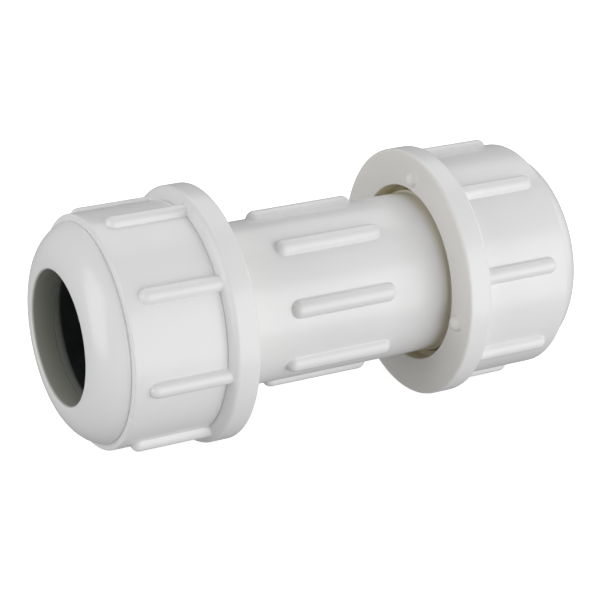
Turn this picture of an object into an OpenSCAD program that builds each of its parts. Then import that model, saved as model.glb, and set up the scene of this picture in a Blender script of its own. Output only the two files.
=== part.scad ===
// Compression coupling for 3/4 inch nominal plastic pressure pipe.
// The pipe axis lies along X and the origin is the middle of the body.
// The left nut is the right nut turned half a turn about Z, so both have right-hand threads.

/* [Pipe] */
// Radius of the bore that the pipe slides into
socket_r = 13.6; // [13.5:0.05:13.75]
// Radius through the stop ring in the middle of the body
stop_r = 11.5; // [9:0.5:12.5]
// Width of the stop ring
stop_w = 3; // [2:0.5:5]

/* [Body] */
// Radius of the plain barrel
barrel_r = 17; // [16.7:0.1:17.2]
// Half the length of the body
body_half = 42.6; // [42:0.1:42.7]
// Number of grip ribs round the barrel
body_ribs = 8; // [4:1:12]
// Length of one barrel rib
body_rib_len = 24.2; // [16:0.1:30]
// Angle of the front rib above the horizontal
body_rib_angle = 12; // [0:1:44]

/* [Thread] */
// Advance of the thread in one turn
pitch = 3.2; // [3:0.1:3.4]
// Radius at the bottom of the body thread
body_root_r = 17.4; // [17.3:0.05:17.5]
// Radius at the top of the body thread
body_crest_r = 18.55; // [18.3:0.05:18.6]
// Radius at the bottom of the nut thread
nut_root_r = 18.9; // [18.85:0.05:19.1]
// Radius at the top of the nut thread
nut_crest_r = 17.75; // [17.7:0.05:17.9]

/* [Nut] */
// Distance from the middle to the inner face of the flange
flange_x = 24; // [24:0.1:24.2]
// Radius of the flange
flange_r = 26.6; // [25.8:0.1:28]
// Thickness of the flange
flange_t = 4.9; // [4:0.1:5.5]
// Radius of the nut behind the flange
nut_r = 24; // [23.8:0.1:24.2]
// Radius of the mouth that the pipe passes through
mouth_r = 13.8; // [13.7:0.05:14]
// Number of grip ribs round the nut
nut_ribs = 8; // [4:1:12]
// Angle of the front rib of the left nut above the horizontal
left_rib_angle = -10.5; // [-22:0.5:22]
// Angle of the front rib of the right nut above the horizontal
right_rib_angle = 13.3; // [-22:0.5:22]

/* [Seal] */
// Inner radius of the rubber gasket
gasket_r = 13.45; // [13.4:0.05:13.55]
// Outer radius of the gasket's thick end
gasket_outer_r = 17.5; // [17:0.1:17.6]
// Thickness of the thrust washer
washer_t = 1.2; // [1:0.1:1.5]
// Inner radius of the thrust washer
washer_r = 13.6; // [13.55:0.05:13.7]

/* [Hidden] */
$fn = 96;

white_pvc = [0.9, 0.9, 0.89];
black_rubber = [0.06, 0.06, 0.07];
washer_white = [0.84, 0.84, 0.82];

half_turn = [0, 0, 180];

// Grip ribs: a round bar sunk into the surface, with a round end
rib_height = 1.6;
body_rib_bar_r = 1.9;
nut_rib_bar_r = 1.7;

// Body ends and thread
step_x = 26;
body_thread_start = 28;
body_thread_turns = 4;
end_chamfer = 0.5;
seat_mouth_r = 16.2;
seat_foot_r = 14.15;
seat_depth = 8.2;
stop_chamfer = 0.6;

// Nut, measured along its axis from the inner face of the flange
nut_thread_start = 3.3;
nut_thread_turns = 4;
chamber_start = 21.5;
shoulder = 27.2;
chamber_r = 18;
dome_bar_r = 8.85;
dome_centre_r = 14.4;
dome_centre = 23;
nose = dome_centre + dome_bar_r;
lip_r = dome_centre_r - mouth_r;
band_start = 25.5;
band_w = 0.1;
band_drop = 1.15;
nut_rib_start = 22.6;
flange_edge = 0.5;
flange_foot = 5.9;
entry_chamfer = 0.2;

// Round nubs on the inner face of the flange, measured from a rib
nub_angles = [24.8, -70.7];
nub_at_r = 21.6;
nub_r = 1.7;
nub_height = 1.5;

// Thread ridges: sunk into the wall by thread_sink, run out over fade_deg at each end
thread_steps_per_turn = 36;
thread_crest_w = 0.9;
flank_angle = 25;
thread_sink = 0.3;
fade_deg = 60;

// Seal stack, measured along the axis from the middle
seal_gap = 0.1;
washer_out = flange_x + shoulder - seal_gap;
washer_in = washer_out - washer_t;
washer_outer_r = 17.7;
gasket_rim = 4;
gasket_cone_r = 16;
gasket_tip_r = 14;
gasket_cone_len = 8;

// Angles about the outward axis of each side
right_spin = -right_rib_angle;
left_spin = left_rib_angle + 180;

// Turn of the body thread that puts its ridge midway between two turns of the nut's ridge
function meshed(spin) =
    spin + 360 * (body_thread_start - flange_x - nut_thread_start + pitch / 2) / pitch;

// One step of a thread ridge: four corners at an angle and a height, root first
function ridge_corners(a, h, root, crest, root_w, crest_w) = [
    [root * cos(a), root * sin(a), h - root_w / 2],
    [crest * cos(a), crest * sin(a), h - crest_w / 2],
    [crest * cos(a), crest * sin(a), h + crest_w / 2],
    [root * cos(a), root * sin(a), h + root_w / 2]
];

// How far a ridge stands up at an angle: 0 at both ends and 1 over the rest
function fade(a, total) = max(0, min(1, a / fade_deg, (total - a) / fade_deg));

// Points the local +Z axis along +X, with local +X towards the front
module along_x() {
    rotate([-90, 0, 0])
        rotate([0, 90, 0])
            children();
}

// A right-hand helical ridge from the root radius to the crest radius
module thread_ridge(root_r, crest_r, turns) {
    side = sign(crest_r - root_r);
    sunk_r = root_r - side * thread_sink;
    height = abs(crest_r - sunk_r);
    root_w = thread_crest_w + 2 * height * tan(flank_angle);
    steps = turns * thread_steps_per_turn;
    total = turns * 360;
    points = [
        for (i = [0 : steps])
            let (a = i * 360 / thread_steps_per_turn)
            let (tip = sunk_r + side * (0.1 + (height - 0.1) * fade(a, total)))
            each ridge_corners(a, pitch * a / 360, sunk_r, tip, root_w, thread_crest_w)
    ];
    quads = [
        for (i = [0 : steps - 1], k = [0 : 3])
            [4 * i + k, 4 * i + (k + 1) % 4, 4 * i + 4 + (k + 1) % 4, 4 * i + 4 + k]
    ];
    triangles = [
        for (q = quads)
            each [[q[0], q[1], q[2]], [q[0], q[2], q[3]]]
    ];
    last = 4 * steps;
    caps = [[0, 3, 2], [0, 2, 1], [last, last + 1, last + 2], [last, last + 2, last + 3]];
    outward = concat(triangles, caps);
    faces = side > 0 ? outward : [for (f = outward) [f[0], f[2], f[1]]];
    polyhedron(points, faces);
}

// A round bar along +Z from the origin, with round ends where they are asked for
module round_bar(bar_r, len, round_start = true) {
    rotate_extrude()
        intersection() {
            union() {
                translate([0, round_start ? bar_r : 0])
                    square([bar_r, len - (round_start ? 2 : 1) * bar_r]);
                translate([0, len - bar_r])
                    circle(bar_r);
                if (round_start)
                    translate([0, bar_r])
                        circle(bar_r);
            }
            square([bar_r, len]);
        }
}

module body_rib() {
    translate([barrel_r + rib_height - body_rib_bar_r, 0, -body_rib_len / 2])
        round_bar(body_rib_bar_r, body_rib_len);
}

module body_outline() {
    difference() {
        polygon([
            [0, -body_half],
            [body_root_r - end_chamfer, -body_half],
            [body_root_r, -body_half + end_chamfer],
            [body_root_r, -step_x - body_root_r + barrel_r],
            [barrel_r, -step_x],
            [barrel_r, step_x],
            [body_root_r, step_x + body_root_r - barrel_r],
            [body_root_r, body_half - end_chamfer],
            [body_root_r - end_chamfer, body_half],
            [0, body_half]
        ]);
        waterway_half();
        mirror([0, 1])
            waterway_half();
    }
}

// Half of the hole through the body: stop ring, pipe socket and tapered gasket seat
module waterway_half() {
    polygon([
        [0, 0],
        [stop_r, 0],
        [stop_r, stop_w / 2 - stop_chamfer],
        [stop_r + stop_chamfer, stop_w / 2],
        [socket_r, stop_w / 2],
        [socket_r, body_half - seat_depth],
        [seat_foot_r, body_half - seat_depth],
        [seat_mouth_r, body_half],
        [seat_mouth_r, body_half + 1],
        [0, body_half + 1]
    ]);
}

module body_thread(spin) {
    along_x()
        translate([0, 0, body_thread_start])
            rotate([0, 0, meshed(spin)])
                thread_ridge(body_root_r, body_crest_r, body_thread_turns);
}

module coupling_body() {
    color(white_pvc) {
        along_x() {
            rotate_extrude()
                body_outline();
            for (i = [0 : body_ribs - 1])
                rotate([0, 0, -body_rib_angle + i * 360 / body_ribs])
                    body_rib();
        }
        body_thread(right_spin);
        rotate(half_turn)
            body_thread(left_spin);
    }
}

// Outside of the nut: flange, plain length, stepped band, dome and rolled lip
module nut_outline() {
    polygon([
        [0, 0],
        [flange_r - flange_edge, 0],
        [flange_r, flange_edge],
        [flange_r, flange_t - flange_edge],
        [flange_r - flange_edge, flange_t],
        [nut_r, flange_foot],
        [nut_r, band_start],
        [nut_r - band_drop, band_start + band_w],
        [0, band_start + band_w]
    ]);
    translate([dome_centre_r, dome_centre])
        intersection() {
            circle(dome_bar_r);
            square(dome_bar_r);
        }
    square([dome_centre_r, nose - lip_r]);
    translate([dome_centre_r, nose - lip_r])
        circle(lip_r);
}

// Inside of the nut: threaded length, seal chamber and mouth
module nut_hollow() {
    polygon([
        [0, -1],
        [nut_root_r + entry_chamfer, -1],
        [nut_root_r + entry_chamfer, 0],
        [nut_root_r, entry_chamfer],
        [nut_root_r, chamber_start],
        [chamber_r, chamber_start],
        [chamber_r, shoulder],
        [mouth_r, shoulder],
        [mouth_r, nose + 1],
        [0, nose + 1]
    ]);
}

module nut_rib() {
    sunk = 1;
    translate([nut_r + rib_height - nut_rib_bar_r, 0, flange_t - sunk])
        round_bar(nut_rib_bar_r, nut_rib_start - flange_t + sunk, false);
}

module nub() {
    ball_r = (nub_r * nub_r + nub_height * nub_height) / (2 * nub_height);
    translate([nub_at_r, 0, ball_r - nub_height])
        sphere(ball_r);
}

module nut() {
    color(white_pvc) {
        rotate_extrude()
            difference() {
                nut_outline();
                nut_hollow();
            }
        for (a = nub_angles)
            rotate([0, 0, a])
                nub();
        for (i = [0 : nut_ribs - 1])
            rotate([0, 0, i * 360 / nut_ribs])
                nut_rib();
        translate([0, 0, nut_thread_start])
            thread_ridge(nut_root_r, nut_crest_r, nut_thread_turns);
    }
}

module placed_nut(spin) {
    along_x()
        translate([0, 0, flange_x])
            rotate([0, 0, spin])
                nut();
}

module nut_right() {
    placed_nut(right_spin);
}

module nut_left() {
    rotate(half_turn)
        placed_nut(left_spin);
}

module gasket() {
    cone_start = washer_in - gasket_rim;
    color(black_rubber)
        along_x()
            rotate_extrude()
                polygon([
                    [gasket_r, washer_in],
                    [gasket_outer_r, washer_in],
                    [gasket_outer_r, cone_start],
                    [gasket_cone_r, cone_start],
                    [gasket_tip_r, cone_start - gasket_cone_len],
                    [gasket_r, cone_start - gasket_cone_len]
                ]);
}

module gasket_right() {
    gasket();
}

module gasket_left() {
    rotate(half_turn)
        gasket();
}

module thrust_washer() {
    color(washer_white)
        along_x()
            translate([0, 0, washer_in])
                difference() {
                    cylinder(h = washer_t, r = washer_outer_r);
                    translate([0, 0, -1])
                        cylinder(h = washer_t + 2, r = washer_r);
                }
}

module thrust_washer_right() {
    thrust_washer();
}

module thrust_washer_left() {
    rotate(half_turn)
        thrust_washer();
}

coupling_body();
nut_left();
nut_right();
gasket_left();
gasket_right();
thrust_washer_left();
thrust_washer_right();
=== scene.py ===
import math

import bmesh
import bpy
import numpy as np
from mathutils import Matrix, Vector


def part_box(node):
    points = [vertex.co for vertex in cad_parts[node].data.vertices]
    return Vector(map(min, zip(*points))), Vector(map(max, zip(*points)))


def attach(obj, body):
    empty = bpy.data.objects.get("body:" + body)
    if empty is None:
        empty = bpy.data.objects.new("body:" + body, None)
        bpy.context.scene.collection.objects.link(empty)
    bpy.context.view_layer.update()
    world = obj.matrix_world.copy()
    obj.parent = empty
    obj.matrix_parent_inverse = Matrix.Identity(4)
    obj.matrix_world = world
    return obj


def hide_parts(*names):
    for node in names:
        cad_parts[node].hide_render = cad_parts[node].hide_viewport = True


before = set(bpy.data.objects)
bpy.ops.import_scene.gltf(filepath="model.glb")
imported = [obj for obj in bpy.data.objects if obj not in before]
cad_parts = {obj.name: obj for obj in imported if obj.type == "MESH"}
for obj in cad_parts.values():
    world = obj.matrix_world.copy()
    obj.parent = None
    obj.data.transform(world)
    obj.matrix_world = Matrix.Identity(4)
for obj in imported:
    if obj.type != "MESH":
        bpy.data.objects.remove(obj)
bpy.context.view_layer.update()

# Sizes are in millimetres until a mesh is made, and angles are in degrees. The pipe axis is X.
MM = 0.001
STEPS_PER_MM = 20


def corner(node, side):
    """One corner of a CAD node's box, in millimetres, to the nearest 0.05 mm."""
    return [round(v / MM * STEPS_PER_MM) / STEPS_PER_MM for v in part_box(node)[side]]


# Where the CAD pieces are
NOSE_X, _, FLANGE_R = corner("nut_right", 1)
NUB_X = corner("nut_right", 0)[0]
BODY_HALF = corner("coupling_body", 1)[0]
WASHER_IN, WASHER_OUT = corner("thrust_washer_right", 0)[0], corner("thrust_washer_right", 1)[0]
WASHER_OUTER_R = corner("thrust_washer_right", 1)[2]
GASKET_TIP_X = corner("gasket_right", 0)[0]
GASKET_OUTER_R = corner("gasket_right", 1)[2]

# Screw thread, the same on the body and in the nuts. The ridge's sizes are half widths, and it
# runs out over THREAD_FADE at each end.
PITCH = 3.2
THREAD_TURNS = 4
THREAD_DEPTH = 1.15
RIDGE_CREST = 0.45
RIDGE_FOOT = 0.99
THREAD_FADE = 60.0

# Grip ribs, and the angle of each piece's front rib above the horizontal
RIB_COUNT = 8
RIB_HEIGHT = 1.6
RIB_FILLET = 0.5
RIGHT_RIB_ANGLE = 13.3
LEFT_RIB_ANGLE = -10.5
BODY_RIB_ANGLE = 12.0

# Body
BARREL_R = 17.0
BODY_THREAD_R = 17.4
BODY_THREAD_X = 28.0
BODY_THREAD_LEAD = 1.2
BODY_RIB_BAR = 1.9
BODY_RIB_HALF = 12.1
STEP_X = 26.0
STEP_LENGTH = 0.4
STEP_ROUND = 0.2
END_CHAMFER = 0.5
END_MARGIN = 0.6
END_ROUND = 0.15
SEAT_MOUTH_R = 16.2
SEAT_FOOT_R = 14.15
SEAT_DEPTH = 8.2
SOCKET_R = 13.6
STOP_R = 11.5
STOP_HALF = 1.5
STOP_CHAMFER = 0.6

# Nut, measured along its axis from the inner face of the flange. The flange's back bends away
# from the rim at FLANGE_ROUND, towards FLANGE_T, and ends in a fine groove at FLANGE_FOOT.
FLANGE_X = 24.0
NOSE = NOSE_X - FLANGE_X
FLANGE_EDGE = 0.6
FLANGE_ROUND = 4.3
FLANGE_T = 5.6
FLANGE_FOOT = 5.85
FLANGE_GROOVE = 0.25
NUT_R = 24.0
NUT_RIB_BAR = 1.7
NUT_RIB_TIP = 22.6
BAND_START = 25.65
BAND_W = 0.15
BAND_DROP = 1.48
BAND_ROUND = 0.4
BAND_GROOVE = 0.35
BAND_GROOVE_ROUND = 0.1
DOME_BAR = 8.85
DOME_CENTRE = (NOSE - DOME_BAR, 14.4)
MOUTH_R = 13.8
LIP = DOME_CENTRE[1] - MOUTH_R
SHOULDER = 27.2
CHAMBER_R = 18.0
CHAMBER_START = 21.5
CHAMBER_ROUND = 0.02
NUT_THREAD_R = 18.9
NUT_THREAD_START = 3.3
THREAD_FIRST = 0.6
THREAD_END = 17.7
ENTRY = 0.2
ENTRY_ROUND = 0.1

# Round nubs on the inner face of the flange
NUB_ANGLES = (24.8, -70.7)
NUB_AT_R = 21.6
NUB_R = 1.7
NUB_HEIGHT = FLANGE_X - NUB_X
NUB_FILLET = 0.12

# Seal
GASKET_R = 13.45
GASKET_RIM = 4.0
GASKET_CONE_R = 16.0
GASKET_TIP_R = 14.0
GASKET_ROUND = 0.3
GASKET_SEAM = 5.0
WASHER_R = 13.75
WASHER_ROUND = 0.03
WASHER_SEAM = 0.1

# Vertices round the axis: how many on plain surfaces, and the spacing across ribs and nubs, how
# far to each side of them it holds, and the angle between vertices elsewhere
SIDES = 144
FINE = 0.12
NUT_RIB_SPREAD = 6
BODY_RIB_SPREAD = 8
NUB_SPREAD = 6.5
RIB_COARSE = 3
NUB_COARSE = 2.5

# Rows of vertices along the axis: rows on a thread, how far the fine rows run past a rib's round
# end or a nub, and the gaps left where two rows meet
ROWS_PER_PITCH = 20
CLEAR = 0.4
ROW_GAP = 0.5
PLAIN_GAP = 1.5
SEAM = 0.2
THIN_SEAM = 0.05

# Edges that bend more than this are left sharp
SHARP_ANGLE = 55


# ---------------------------------------------------------------- outlines

def line(a, b, steps):
    """Points from a to b, both included."""
    return [tuple(np.add(a, np.subtract(b, a) * i / steps)) for i in range(steps + 1)]


def arc(centre, radius, start, end, steps):
    """Points of an arc: 0 degrees points along the axis and 90 degrees away from it."""
    turns = np.radians(np.linspace(start, end, steps + 1))
    return [(centre[0] + radius * math.cos(t), centre[1] + radius * math.sin(t)) for t in turns]


def chain(*parts):
    """Joins outlines end to end, without repeating the point where two of them meet."""
    points = list(parts[0])
    for part in parts[1:]:
        same = math.dist(points[-1], part[0]) < 1e-6
        points += part[1:] if same else part
    return points


def bend(start, turn, end, steps):
    """A smooth bend from start to end that leaves and arrives in the direction of a turning point."""
    a, p, b = np.array(start), np.array(turn), np.array(end)
    shares = np.linspace(0, 1, steps + 1)
    return [tuple((1 - t) ** 2 * a + 2 * t * (1 - t) * p + t * t * b) for t in shares]


def rounded(points, radius, steps=4):
    """The outline through these corners, each of them rounded except the first and last."""
    out = [points[0]]
    for before, at, after in zip(points, points[1:], points[2:]):
        p, a, b = np.array(at), np.array(before), np.array(after)
        reach = min(radius, math.dist(at, before) / 2, math.dist(at, after) / 2)
        start = p + (a - p) / np.linalg.norm(a - p) * reach
        end = p + (b - p) / np.linalg.norm(b - p) * reach
        out = chain(out, bend(start, p, end, steps))
    return chain(out, [points[-1]])


# ---------------------------------------------------------------- surface relief

def smooth_max(a, b, blend):
    """The larger of two surfaces, with a fillet where they cross."""
    h = np.clip(0.5 + 0.5 * (a - b) / blend, 0, 1)
    return b + (a - b) * h + blend * h * (1 - h)


def rib_radius(s, angle, surface_r, bar, first, last):
    """Radius of the nearest grip rib: a round bar sunk into the surface, with round ends."""
    spacing = 360 / RIB_COUNT
    across = np.radians(np.mod(angle + spacing / 2, spacing) - spacing / 2)
    centre_r = surface_r + RIB_HEIGHT - bar
    past = np.maximum(0, np.maximum(first + bar - s, s - last + bar))
    room = bar**2 - past**2 - (centre_r * np.sin(across)) ** 2
    return np.where(room > 0, centre_r * np.cos(across) + np.sqrt(np.maximum(room, 0)), 0)


def soft_step(t):
    """0 below 0, 1 above 1, and an S-curve between."""
    t = np.clip(t, 0, 1)
    return t * t * (3 - 2 * t)


def thread_height(s, angle, start):
    """How far the thread stands up, 0 to 1. The angle counts from where the thread starts."""
    first = np.mod(angle, 360)
    turn = np.clip(np.round((s - start) / PITCH - first / 360), 0, THREAD_TURNS - 1)
    along = first + 360 * turn
    off = np.abs(s - start - PITCH * along / 360)
    ends = np.minimum(along, 360 * THREAD_TURNS - along) / THREAD_FADE
    return soft_step((RIDGE_FOOT - off) / (RIDGE_FOOT - RIDGE_CREST)) * soft_step(ends)


# ---------------------------------------------------------------- turned meshes

def even(count):
    """Evenly spaced angles round the axis."""
    return np.arange(count) * 360 / count


def dense_near(centres, half_width, fine, coarse):
    """Angles round the axis, fine within half_width of each centre and coarse between."""
    centres = sorted(c % 360 for c in centres)
    angles = []
    for c, following in zip(centres, centres[1:] + [centres[0] + 360]):
        inner = max(2, round(2 * half_width / fine))
        angles += list(np.linspace(c - half_width, c + half_width, inner + 1))
        gap = following - c - 2 * half_width
        outer = max(2, round(gap / coarse))
        angles += list(c + half_width + gap * np.arange(1, outer) / outer)
    return np.sort(np.mod(angles, 360))


def ring_strip(a, b, angles_a, angles_b):
    """Faces between two rings of vertices, given as first indices and angles."""
    m, n = len(angles_a), len(angles_b)
    if m == n and np.allclose(angles_a, angles_b):
        return [(a + j, a + (j + 1) % m, b + (j + 1) % m, b + j) for j in range(m)]
    faces, i, j = [], 0, 0
    next_a = list(angles_a[1:]) + [angles_a[0] + 360]
    next_b = list(angles_b[1:]) + [angles_b[0] + 360]
    while i < m or j < n:
        if j >= n or (i < m and next_a[i] <= next_b[j]):
            faces.append((a + i % m, a + (i + 1) % m, b + j % n))
            i += 1
        else:
            faces.append((a + i % m, b + (j + 1) % n, b + j % n))
            j += 1
    return faces


def turned(name, bands, place):
    """A closed mesh turned about the axis. A band is an outline, its angles and its relief."""
    verts, faces, rings = [], [], []
    for outline, angles, relief in bands:
        rows = np.array(outline)
        s, angle = np.meshgrid(rows[:, 0], angles, indexing="ij")
        r = np.repeat(rows[:, 1:], len(angles), axis=1)
        if relief:
            s, r = relief(s, r, angle)
        for k in range(len(rows)):
            rings.append((len(verts), angles))
            verts += list(place(s[k], r[k], angle[k]) * MM)
    for (a, angles_a), (b, angles_b) in zip(rings, rings[1:] + rings[:1]):
        faces += ring_strip(a, b, angles_a, angles_b)
    mesh = bpy.data.meshes.new(name)
    mesh.from_pydata([tuple(v) for v in verts], [], faces)
    bm = bmesh.new()
    bm.from_mesh(mesh)
    bmesh.ops.recalc_face_normals(bm, faces=bm.faces)
    bm.to_mesh(mesh)
    bm.free()
    mesh.shade_smooth()
    mesh.set_sharp_from_angle(angle=math.radians(SHARP_ANGLE))
    obj = bpy.data.objects.new(name, mesh)
    bpy.context.scene.collection.objects.link(obj)
    return obj


def around(x, r, theta):
    """Points at an angle above the front, -Y."""
    t = np.radians(theta)
    return np.stack([x, -r * np.cos(t), r * np.sin(t)], axis=-1)


def on_right(s, r, angle):
    """Places the right nut, whose angles count from its front rib."""
    return around(FLANGE_X + s, r, RIGHT_RIB_ANGLE - angle)


def on_left(s, r, angle):
    """Places the left nut, which is the right nut turned half a turn about Z."""
    return around(-FLANGE_X - s, r, LEFT_RIB_ANGLE + angle)


# ---------------------------------------------------------------- nut

def nut_outside(s, r, angle):
    """Adds the grip ribs, which run into the rounded back of the flange."""
    rib = rib_radius(s, angle, NUT_R, NUT_RIB_BAR, -FLANGE_T, NUT_RIB_TIP)
    return s, np.where(s > FLANGE_EDGE, smooth_max(rib, r, RIB_FILLET), r)


def nut_face(s, r, angle):
    """Raises the round nubs on the inner face of the flange."""
    height = np.zeros_like(s)
    ball = (NUB_R**2 + NUB_HEIGHT**2) / (2 * NUB_HEIGHT)
    for at in NUB_ANGLES:
        turn = np.radians(angle - at)
        away = np.hypot(r * np.cos(turn) - NUB_AT_R, r * np.sin(turn))
        cap = np.sqrt(np.maximum(ball**2 - away**2, 0)) - ball + NUB_HEIGHT
        height = np.maximum(height, smooth_max(cap, 0, NUB_FILLET) * (away < NUB_R + 2 * NUB_FILLET))
    return s - height, r


def nut_thread(s, r, angle):
    """Raises the thread inwards."""
    return s, r - THREAD_DEPTH * thread_height(s, angle, NUT_THREAD_START)


def nut_bands():
    """The nut's closed outline in bands, from the inner face of the flange out to the nose and back."""
    e = FLANGE_EDGE
    rim = FLANGE_R - e
    nubs_end = NUB_AT_R + NUB_R + CLEAR
    face = line((0, NUT_THREAD_R + ENTRY), (0, nubs_end), 42)
    groove = (FLANGE_FOOT, NUT_R - FLANGE_GROOVE)
    edge = chain(
        line((0, nubs_end + ROW_GAP), (0, rim), 3),
        arc((e, rim), e, 180, 90, 6),
        line((e, FLANGE_R), (FLANGE_ROUND, FLANGE_R), 4),
        bend((FLANGE_ROUND, FLANGE_R), (FLANGE_T, FLANGE_R), groove, 24),
    )
    tip = NUT_RIB_TIP - NUT_RIB_BAR - CLEAR
    ribs = chain(
        line((FLANGE_FOOT + 2 * FLANGE_GROOVE, NUT_R), (tip, NUT_R), 12),
        line((tip, NUT_R), (NUT_RIB_TIP + ROW_GAP, NUT_R), 22),
    )
    foot = (BAND_START + BAND_W, NUT_R - BAND_DROP)
    start = math.degrees(math.acos((foot[0] + BAND_GROOVE - DOME_CENTRE[0]) / DOME_BAR))
    dome = arc(DOME_CENTRE, DOME_BAR, start, 0, 30)
    step = line((BAND_START, NUT_R), foot, 2)
    crease = chain(
        rounded([(NUT_RIB_TIP + ROW_GAP + CLEAR, NUT_R), step[0], step[1]], BAND_ROUND, 8),
        rounded([step[1], foot, dome[0]], BAND_GROOVE_ROUND),
    )
    lip = arc((NOSE - LIP, DOME_CENTRE[1]), LIP, 0, -90, 8)
    chamber = rounded([
        lip[-1], (SHOULDER, MOUTH_R), (SHOULDER, CHAMBER_R), (CHAMBER_START, CHAMBER_R),
        (CHAMBER_START, NUT_THREAD_R), (THREAD_END + SEAM, NUT_THREAD_R),
    ], CHAMBER_ROUND, 2)
    rows = round((THREAD_END - THREAD_FIRST) / PITCH * ROWS_PER_PITCH)
    thread = line((THREAD_END, NUT_THREAD_R), (THREAD_FIRST, NUT_THREAD_R), rows)
    entry = rounded([
        (THREAD_FIRST - THIN_SEAM, NUT_THREAD_R), (ENTRY, NUT_THREAD_R), (0, NUT_THREAD_R + ENTRY),
    ], ENTRY_ROUND, 2)[:-1]
    across_rib, across_nub = math.degrees(FINE / NUT_R), math.degrees(FINE / NUB_AT_R)
    rib_angles = dense_near(even(RIB_COUNT), NUT_RIB_SPREAD, across_rib, RIB_COARSE)
    nub_angles = dense_near(NUB_ANGLES, NUB_SPREAD, across_nub, NUB_COARSE)
    plain = even(SIDES)
    return [
        (face, nub_angles, nut_face),
        (chain(edge, ribs), rib_angles, nut_outside),
        (chain(crease, dome, lip, chamber), plain, None),
        (thread, plain, nut_thread),
        (entry, plain, None),
    ]


# ---------------------------------------------------------------- body

def body_ribs(s, r, angle):
    """Adds the grip ribs to the barrel."""
    rib = rib_radius(s, angle, BARREL_R, BODY_RIB_BAR, -BODY_RIB_HALF, BODY_RIB_HALF)
    return s, smooth_max(rib, r, RIB_FILLET)


def ridge_offset():
    """Degrees of turn that put the body's thread midway between two turns of the nut's thread."""
    return 360 * (BODY_THREAD_X - FLANGE_X - NUT_THREAD_START + PITCH / 2) / PITCH


def body_thread(s, r, angle):
    """Raises the thread outwards at either end. Angles count from the body's front rib."""
    theta = BODY_RIB_ANGLE + angle
    right = RIGHT_RIB_ANGLE - theta - ridge_offset()
    left = theta - LEFT_RIB_ANGLE - ridge_offset()
    turned_by = np.where(s > 0, right, left)
    return s, r + THREAD_DEPTH * thread_height(np.abs(s), turned_by, BODY_THREAD_X)


def half_body_outline():
    """From the barrel's step to the end face, down the gasket seat and along the socket."""
    first = BODY_THREAD_X - BODY_THREAD_LEAD
    last = BODY_HALF - END_MARGIN
    rows = round((last - first) / PITCH * ROWS_PER_PITCH)
    step = rounded([
        (STEP_X - PLAIN_GAP + ROW_GAP, BARREL_R), (STEP_X, BARREL_R),
        (STEP_X + STEP_LENGTH, BODY_THREAD_R), (first - SEAM, BODY_THREAD_R),
    ], STEP_ROUND, 3)
    thread = line((first, BODY_THREAD_R), (last, BODY_THREAD_R), rows)
    end = rounded([
        (last + THIN_SEAM, BODY_THREAD_R), (BODY_HALF - END_CHAMFER, BODY_THREAD_R),
        (BODY_HALF, BODY_THREAD_R - END_CHAMFER), (BODY_HALF, SEAT_MOUTH_R),
        (BODY_HALF - SEAT_DEPTH, SEAT_FOOT_R), (BODY_HALF - SEAT_DEPTH, SOCKET_R),
        (STOP_HALF, SOCKET_R), (STOP_HALF, STOP_R + STOP_CHAMFER), (STOP_HALF - STOP_CHAMFER, STOP_R),
        (0, STOP_R),
    ], END_ROUND, 2)
    return step, thread, end


def mirrored(points):
    """The same outline at the other end, in the opposite order."""
    return [(-s, r) for s, r in reversed(points)]


def body_bands():
    """The body's closed outline in bands, from the barrel to the right end, through and back."""
    tip = BODY_RIB_HALF - BODY_RIB_BAR - CLEAR
    ribs_end = BODY_RIB_HALF + ROW_GAP
    barrel = chain(
        line((-ribs_end, BARREL_R), (-tip, BARREL_R), 24),
        line((-tip, BARREL_R), (tip, BARREL_R), 10),
        line((tip, BARREL_R), (ribs_end, BARREL_R), 24),
    )
    shoulder = line((BODY_RIB_HALF + PLAIN_GAP, BARREL_R), (STEP_X - PLAIN_GAP, BARREL_R), 5)
    step, thread, end = half_body_outline()
    across_rib = math.degrees(FINE / BARREL_R)
    rib_angles = dense_near(even(RIB_COUNT), BODY_RIB_SPREAD, across_rib, RIB_COARSE)
    plain = even(SIDES)
    return [
        (barrel, rib_angles, body_ribs),
        (chain(shoulder, step), plain, None),
        (thread, plain, body_thread),
        (chain(end, mirrored(end)), plain, None),
        (mirrored(thread), plain, body_thread),
        (chain(mirrored(step), mirrored(shoulder)), plain, None),
    ]


def on_body(s, r, angle):
    """Places the body, whose angles count from its front rib."""
    return around(s, r, BODY_RIB_ANGLE + angle)


# ---------------------------------------------------------------- seals

def mirror_around(x, r, angle):
    """Points of the left seal, the mirror image of the right one."""
    return around(-x, r, angle)


def gasket_bands():
    """A thick rim with a tapered skirt that the body squeezes onto the pipe."""
    rim_x = WASHER_IN - GASKET_RIM
    seam_x = GASKET_TIP_X + GASKET_SEAM
    outline = rounded([
        (seam_x, GASKET_R), (WASHER_IN, GASKET_R), (WASHER_IN, GASKET_OUTER_R),
        (rim_x, GASKET_OUTER_R), (rim_x, GASKET_CONE_R), (GASKET_TIP_X, GASKET_TIP_R),
        (GASKET_TIP_X, GASKET_R), (seam_x - ROW_GAP, GASKET_R),
    ], GASKET_ROUND, 5)
    return [(outline, even(SIDES), None)]


def washer_bands():
    """A thin flat ring."""
    middle = (WASHER_IN + WASHER_OUT) / 2
    outline = rounded([
        (middle, WASHER_R), (WASHER_OUT, WASHER_R), (WASHER_OUT, WASHER_OUTER_R),
        (WASHER_IN, WASHER_OUTER_R), (WASHER_IN, WASHER_R), (middle - WASHER_SEAM, WASHER_R),
    ], WASHER_ROUND, 3)
    return [(outline, even(SIDES), None)]


# ---------------------------------------------------------------- materials

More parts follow.
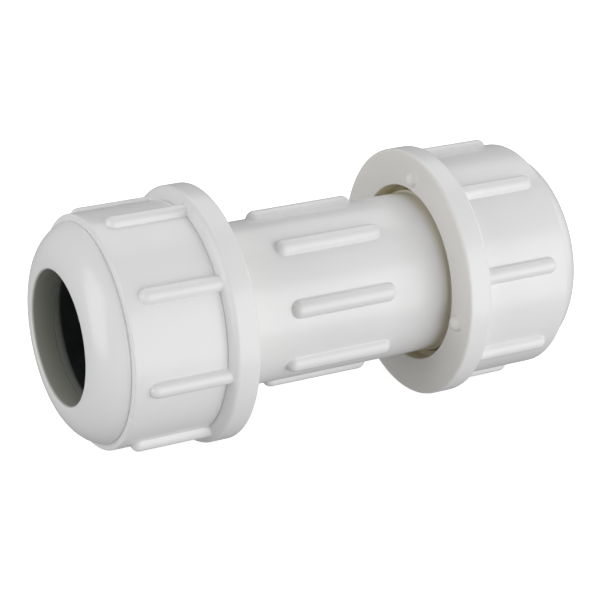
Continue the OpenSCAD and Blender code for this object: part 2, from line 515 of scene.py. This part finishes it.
PVC_SHADES = (0.84, 0.84, 0.84), (0.86, 0.86, 0.86)
RUBBER_SHADES = (0.008, 0.009, 0.010), (0.016, 0.018, 0.020)
# Painted shade: the washer is coloured dark grey to stand for the shade deep in the nut's mouth
WASHER_PAINTED_SHADE = (0.26, 0.28, 0.25), (0.30, 0.32, 0.29)
PAPER_SHADES = (0.84, 0.84, 0.84), (0.86, 0.86, 0.86)

# Painted shade: plain darker, warmer colours for the zones of a moulding where shade falls (the bore, a
# nut's threaded chamber, its flange's inner face and the body's covered ends), and the lengths over
# which they fade out
# Painted shade in the bore round the pipe: a darker grey for the shade deep in the nut's mouth
BORE_PAINTED_SHADE = (0.49, 0.49, 0.445)
# Painted shade in the nut's threaded chamber: a warm brown for the shade between the threads
CHAMBER_PAINTED_SHADE = (0.86, 0.79, 0.57)
# Painted shade on the flange's inner face: a slightly darker, warmer white for the shade beside the gap
FACE_PAINTED_SHADE = (0.87, 0.85, 0.82)
# Painted shade on the body's ends under the nuts: a darker, warmer white for the shade in the gap
ENTRY_PAINTED_SHADE = (0.80, 0.78, 0.71)
ENTRY_FADE = 1.2
ZONE_FADE = 0.4

# Most of a noise texture's values lie between these
NOISE_LOW = 0.3
NOISE_HIGH = 0.7


def new_material(name):
    """An empty node material, with its tree, its shader and a coordinate node."""
    material = bpy.data.materials.new(name)
    material.use_nodes = True
    tree = material.node_tree
    shader = tree.nodes["Principled BSDF"]
    place = tree.nodes.new("ShaderNodeTexCoord")
    return material, tree, shader, place.outputs["Object"]


def noise(tree, place, per_metre, detail=3.0, roughness=0.5):
    """A noise texture's value."""
    node = tree.nodes.new("ShaderNodeTexNoise")
    node.inputs["Scale"].default_value = per_metre
    node.inputs["Detail"].default_value = detail
    node.inputs["Roughness"].default_value = roughness
    tree.links.new(place, node.inputs["Vector"])
    return node.outputs["Fac"]


def spread(tree, value, low, high):
    """A noise value stretched to run from low to high."""
    node = tree.nodes.new("ShaderNodeMapRange")
    node.inputs["From Min"].default_value = NOISE_LOW
    node.inputs["From Max"].default_value = NOISE_HIGH
    node.inputs["To Min"].default_value = low
    node.inputs["To Max"].default_value = high
    tree.links.new(value, node.inputs["Value"])
    return node.outputs["Result"]


def tint(tree, value, dark, light):
    """A colour that runs from dark to light with a noise value."""
    node = tree.nodes.new("ShaderNodeValToRGB")
    node.color_ramp.elements[0].position = NOISE_LOW
    node.color_ramp.elements[0].color = (*dark, 1)
    node.color_ramp.elements[1].position = NOISE_HIGH
    node.color_ramp.elements[1].color = (*light, 1)
    tree.links.new(value, node.inputs["Fac"])
    return node.outputs["Color"]


def bump(tree, shader, layers):
    """Stacks bumps: each layer is a height value and its depth in millimetres."""
    previous = None
    for height, depth in layers:
        node = tree.nodes.new("ShaderNodeBump")
        node.inputs["Distance"].default_value = depth * MM
        tree.links.new(height, node.inputs["Height"])
        if previous:
            tree.links.new(previous, node.inputs["Normal"])
        previous = node.outputs["Normal"]
    tree.links.new(previous, shader.inputs["Normal"])


def calculate(tree, operation, *values):
    """A maths node of one or two values."""
    node = tree.nodes.new("ShaderNodeMath")
    node.operation = operation
    for value, socket in zip(values, node.inputs):
        tree.links.new(value, socket)
    return node.outputs["Value"]


def ramp(tree, value, zero_at, one_at):
    """0 to 1 as a value runs between two sizes in millimetres."""
    node = tree.nodes.new("ShaderNodeMapRange")
    node.inputs["From Min"].default_value = zero_at * MM
    node.inputs["From Max"].default_value = one_at * MM
    tree.links.new(value, node.inputs["Value"])
    return node.outputs["Result"]


def zones(tree, place):
    """Values that are 1 in one zone of the part and 0 elsewhere, used as masks for painted shade. The
    zones are the bore round the pipe, a nut's threaded chamber, the inner face of its flange and the
    ends of the body that the nuts cover, where shade falls.
    """
    split = tree.nodes.new("ShaderNodeSeparateXYZ")
    tree.links.new(place, split.inputs["Vector"])
    squares = [calculate(tree, "MULTIPLY", split.outputs[a], split.outputs[a]) for a in "YZ"]
    radius = calculate(tree, "SQRT", calculate(tree, "ADD", *squares))
    along = calculate(tree, "ABSOLUTE", split.outputs["X"])
    bore = ramp(tree, radius, MOUTH_R + ZONE_FADE, MOUTH_R)
    wall = NUT_THREAD_R + ENTRY
    within_wall = ramp(tree, radius, wall + ZONE_FADE, wall)
    past_face = ramp(tree, along, FLANGE_X + ZONE_FADE / 2, FLANGE_X + ZONE_FADE)
    before_mouth = ramp(tree, along, FLANGE_X + SHOULDER + 2 * ZONE_FADE, FLANGE_X + SHOULDER)
    length = calculate(tree, "MULTIPLY", past_face, before_mouth)
    chamber = calculate(tree, "MULTIPLY", within_wall, length)
    face = ramp(tree, along, FLANGE_X + ZONE_FADE, FLANGE_X + ZONE_FADE / 2)
    covered = ramp(tree, along, FLANGE_X - ENTRY_FADE, FLANGE_X)
    return bore, chamber, face, covered


def mix(tree, share, a, b):
    """Colour a where share is 0 and plain colour b where it is 1."""
    node = tree.nodes.new("ShaderNodeMixRGB")
    tree.links.new(share, node.inputs["Fac"])
    tree.links.new(a, node.inputs["Color1"])
    node.inputs["Color2"].default_value = (*b, 1)
    return node.outputs["Color"]


def pvc_material(name, is_nut):
    """White moulded PVC: satin, faintly wavy, with a very fine grain, and with painted shade, darker
    and warmer colours, on the inner surfaces where shade falls.
    """
    material, tree, shader, place = new_material(name)
    cloud = noise(tree, place, per_metre=60)
    grain = noise(tree, place, per_metre=2600, detail=2)
    bore, chamber, face, covered = zones(tree, place)
    colour = tint(tree, cloud, *PVC_SHADES)
    if is_nut:
        # Painted shade on the flange's inner face
        colour = mix(tree, face, colour, FACE_PAINTED_SHADE)
        # Painted shade in the threaded chamber
        colour = mix(tree, chamber, colour, CHAMBER_PAINTED_SHADE)
    else:
        # Painted shade on the body's ends under the nuts
        colour = mix(tree, covered, colour, ENTRY_PAINTED_SHADE)
    # Painted shade in the bore round the pipe
    colour = mix(tree, bore, colour, BORE_PAINTED_SHADE)
    tree.links.new(colour, shader.inputs["Base Color"])
    tree.links.new(spread(tree, grain, low=0.235, high=0.265), shader.inputs["Roughness"])
    bump(tree, shader, [(cloud, 0.03), (grain, 0.0005)])
    return material


def rubber_material():
    """Black moulded rubber with a dull sheen."""
    material, tree, shader, place = new_material("moulded_rubber")
    bloom = noise(tree, place, per_metre=300, detail=4)
    grain = noise(tree, place, per_metre=4000, detail=2)
    tree.links.new(tint(tree, bloom, *RUBBER_SHADES), shader.inputs["Base Color"])
    tree.links.new(spread(tree, bloom, low=0.42, high=0.60), shader.inputs["Roughness"])
    bump(tree, shader, [(grain, 0.01)])
    return material


def washer_material():
    """Stamped plastic, duller than the mouldings, coloured dark grey as painted shade for the depth of
    the nut's mouth.
    """
    material, tree, shader, place = new_material("stamped_plastic_painted_shade")
    cloud = noise(tree, place, per_metre=150)
    grain = noise(tree, place, per_metre=3000, detail=2)
    tree.links.new(tint(tree, cloud, *WASHER_PAINTED_SHADE), shader.inputs["Base Color"])
    tree.links.new(spread(tree, grain, low=0.50, high=0.62), shader.inputs["Roughness"])
    bump(tree, shader, [(grain, 0.01)])
    return material


def floor_material():
    """Pale studio paper with a glow of its own, so that it reads as white."""
    material, tree, shader, place = new_material("floor_paper")
    fibre = noise(tree, place, per_metre=400, detail=4)
    tree.links.new(tint(tree, fibre, *PAPER_SHADES), shader.inputs["Base Color"])
    shader.inputs["Roughness"].default_value = 0.9
    shader.inputs["Emission Color"].default_value = (1, 1, 1, 1)
    shader.inputs["Emission Strength"].default_value = FLOOR_GLOW
    return material


# ---------------------------------------------------------------- the object

def add_piece(node, bands, place, body, material):
    """Builds the finished mesh of one CAD node and lets it stand for that node."""
    obj = turned(node + "_skin", bands, place)
    obj.data.materials.append(material)
    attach(obj, body)
    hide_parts(node)


def add_object():
    """Builds all the pieces."""
    body_pvc, nut_pvc = pvc_material("body_pvc", False), pvc_material("nut_pvc", True)
    rubber, plastic = rubber_material(), washer_material()
    nut, gasket, washer = nut_bands(), gasket_bands(), washer_bands()
    add_piece("coupling_body", body_bands(), on_body, "body", body_pvc)
    add_piece("nut_right", nut, on_right, "right_nut", nut_pvc)
    add_piece("nut_left", nut, on_left, "left_nut", nut_pvc)
    add_piece("gasket_right", gasket, around, "right_seal", rubber)
    add_piece("gasket_left", gasket, mirror_around, "left_seal", rubber)
    add_piece("thrust_washer_right", washer, around, "right_seal", plastic)
    add_piece("thrust_washer_left", washer, mirror_around, "left_seal", plastic)


# ---------------------------------------------------------------- studio

# Where the camera stands, in degrees and millimetres, and how far off the lights are
VIEW_AZIMUTH = -28.03
VIEW_ELEVATION = 21.24
VIEW_DISTANCE = 458.3
VIEW_LENS = 131.36
VIEW_AIM = (-1.4, 0.0, -1.8)
LIGHT_DISTANCE = 700
WORLD_LIGHT = 0.26
FLOOR_GLOW = 0.75

# These three are in metres
NEAR_CLIP = 0.01
FAR_CLIP = 20
FLOOR_HALF = 4.0


def towards(azimuth, elevation):
    """Unit vector at an azimuth from the front and an elevation above the horizon."""
    a, e = math.radians(azimuth), math.radians(elevation)
    return Vector((math.sin(a) * math.cos(e), -math.cos(a) * math.cos(e), math.sin(e)))


def aim(obj, azimuth, elevation, distance, at=(0, 0, 0)):
    """Stands obj off from a point and turns it to look at that point."""
    back = towards(azimuth, elevation)
    obj.location = (Vector(at) + back * distance) * MM
    obj.rotation_mode = "QUATERNION"
    obj.rotation_quaternion = (-back).to_track_quat("-Z", "Y")


def add_camera():
    """The camera, aimed from the front left and a little above."""
    data = bpy.data.cameras.new("camera")
    data.lens = VIEW_LENS
    data.clip_start = NEAR_CLIP
    data.clip_end = FAR_CLIP
    camera = bpy.data.objects.new("camera", data)
    bpy.context.scene.collection.objects.link(camera)
    aim(camera, VIEW_AZIMUTH, VIEW_ELEVATION, VIEW_DISTANCE, VIEW_AIM)
    bpy.context.scene.camera = camera


def add_soft_box(name, azimuth, elevation, width, height, power):
    """A soft box that looks at the object."""
    data = bpy.data.lights.new(name, "AREA")
    data.shape = "RECTANGLE"
    data.size = width * MM
    data.size_y = height * MM
    data.energy = power
    light = bpy.data.objects.new(name, data)
    bpy.context.scene.collection.objects.link(light)
    aim(light, azimuth, elevation, LIGHT_DISTANCE)


def add_world():
    """An even pale surround."""
    world = bpy.data.worlds.new("studio")
    bpy.context.scene.world = world
    world.use_nodes = True
    background = world.node_tree.nodes["Background"]
    background.inputs["Color"].default_value = (1, 1, 1, 1)
    background.inputs["Strength"].default_value = WORLD_LIGHT


def add_floor():
    """A pale floor under the object. It sends no light back to the object and casts no shadow."""
    mesh = bpy.data.meshes.new("floor")
    corners = [(-1, -1), (1, -1), (1, 1), (-1, 1)]
    verts = [(x * FLOOR_HALF, y * FLOOR_HALF, -FLANGE_R * MM) for x, y in corners]
    mesh.from_pydata(verts, [], [(0, 1, 2, 3)])
    floor = bpy.data.objects.new("floor", mesh)
    bpy.context.scene.collection.objects.link(floor)
    floor.data.materials.append(floor_material())
    floor.visible_diffuse = False
    floor.visible_glossy = False
    floor.visible_shadow = False


def add_studio():
    """Camera, surround, floor and lights."""
    add_camera()
    add_world()
    add_floor()
    add_soft_box("left_light", azimuth=-90, elevation=14, width=500, height=700, power=2.6)
    add_soft_box("front_light", azimuth=22, elevation=2, width=900, height=750, power=4.15)
    add_soft_box("right_light", azimuth=80, elevation=10, width=500, height=500, power=0.4)
    add_soft_box("back_light", azimuth=150, elevation=58, width=700, height=500, power=1.55)
    bpy.context.scene.view_settings.view_transform = "Standard"
    bpy.context.scene.cycles.use_denoising = True


add_object()
add_studio()
